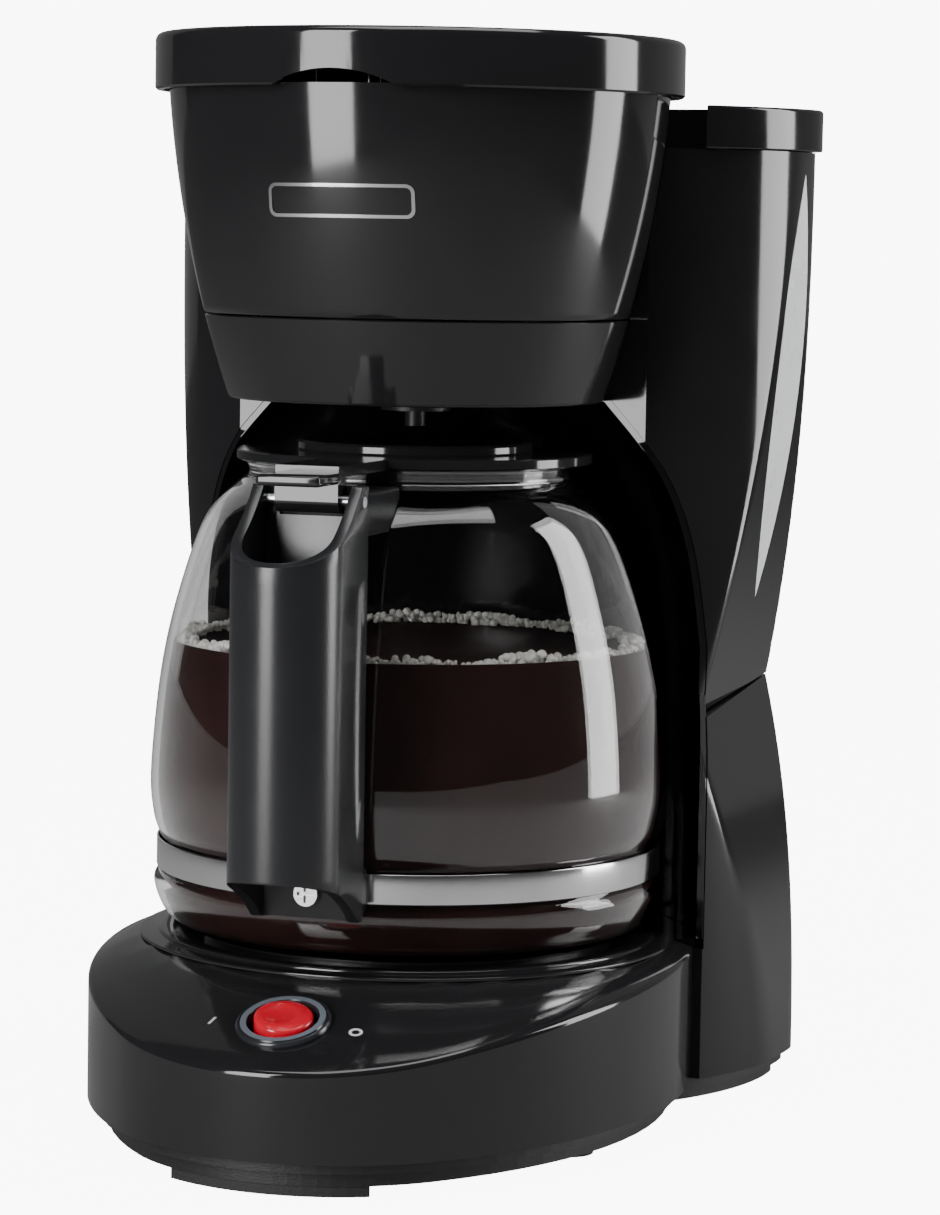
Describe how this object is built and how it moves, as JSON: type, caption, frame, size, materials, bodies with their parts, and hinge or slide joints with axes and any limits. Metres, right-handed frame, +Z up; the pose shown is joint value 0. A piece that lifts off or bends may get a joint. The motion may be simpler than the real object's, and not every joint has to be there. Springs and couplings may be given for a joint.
{
  "type": "drip coffee maker",
  "caption": "Drip coffee maker with glass carafe, warming plate, brew head with hinged lid, rear water tank with window and rocker switch.",
  "frame": {"origin": "middle of the footprint, on the surface the feet stand on", "axes": "+Z up, front with the switch towards -Y, +X to the side with the water window"},
  "size_m": [0.2012, 0.232, 0.3093],
  "materials": {
    "black_gloss": "gloss",
    "black_matte": "matte",
    "rubber": "matte",
    "handle_satin": "satin",
    "plate_black": "satin",
    "aluminium": "satin",
    "steel": "satin",
    "bright_steel": "polished",
    "silicone": "matte",
    "red_rubber": "matte",
    "red_gloss": "gloss",
    "window": "frosted",
    "tank_smoke": "frosted",
    "white_plastic": "matte",
    "glass": "clear"
  },
  "bodies": {
    "housing": {"base_housing": "black_gloss", "base_plate": "black_matte", "feet": "rubber", "base_screws": "steel", "plate_ring": "black_gloss", "warming_plate": "plate_black", "heating_element": "aluminium", "element_bracket": "aluminium", "bracket_stud": "steel", "thermostat": "aluminium", "thermal_fuse": "white_plastic", "switch_bezel": "black_matte", "switch_body": "black_matte", "switch_leads": "white_plastic", "tower_lower": "black_gloss", "tower_upper": "black_gloss", "bay_wall_panel": "black_gloss", "water_window": "window", "water_tank": "tank_smoke", "check_valve": "white_plastic", "inlet_hose": "silicone", "riser_hose": "silicone", "hose_clamps": "steel", "water_spout": "black_matte", "tower_screws": "steel", "cord_gland": "rubber", "head_lower": "black_gloss", "head_upper": "black_gloss", "brew_lid_pins": "steel", "tank_lid_pins": "steel"},
    "rocker": {"rocker_button": "red_gloss"},
    "brew_lid": {"brew_lid": "black_gloss", "spray_plate": "black_matte"},
    "tank_lid": {"tank_lid": "black_gloss"},
    "basket": {"filter_basket": "black_matte", "spring_bridge": "black_matte"},
    "drip_valve": {"drip_stop": "black_matte", "drip_seal": "red_rubber", "drip_spring": "steel"},
    "carafe": {"carafe_glass": "glass", "carafe_band": "bright_steel", "carafe_handle": "handle_satin", "carafe_lid_pin": "steel", "band_screw": "steel"},
    "carafe_lid": {"carafe_lid": "black_matte"},
    "valve_ball": {"valve_ball": "steel"}
  },
  "joints": [
    {"name": "rocker_tilt", "type": "hinge", "parent": "housing", "child": "rocker", "pos_m": [0, -0.093, 0.04263], "axis": [0, 0.9397, 0.342], "range_deg": [-14, 0]},
    {"name": "brew_lid_hinge", "type": "hinge", "parent": "housing", "child": "brew_lid", "pos_m": [0, 0.072, 0.3015], "axis": [-1, 0, 0], "range_deg": [0, 90]},
    {"name": "tank_lid_hinge", "type": "hinge", "parent": "housing", "child": "tank_lid", "pos_m": [0, 0.1099, 0.2854], "axis": [-1, 0, 0], "range_deg": [0, 88]},
    {"name": "basket_lift", "type": "slide", "parent": "housing", "child": "basket", "axis": [0, 0, 1], "range_m": [0, 0.006]},
    {"name": "drip_stop_lift", "type": "slide", "parent": "basket", "child": "drip_valve", "axis": [0, 0, 1], "range_m": [0, 0.003], "stiffness_N_per_m": 60},
    {"name": "check_valve_lift", "type": "slide", "parent": "housing", "child": "valve_ball", "axis": [0, 0, 1], "range_m": [0, 0.003]},
    {"name": "carafe_slide", "type": "slide", "parent": "housing", "child": "carafe", "axis": [0, -1, 0], "range_m": [0, 0.2]},
    {"name": "carafe_lid_hinge", "type": "hinge", "parent": "carafe", "child": "carafe_lid", "pos_m": [0, -0.0777, 0.182], "axis": [1, 0, 0], "range_deg": [0, 3]}
  ]
}
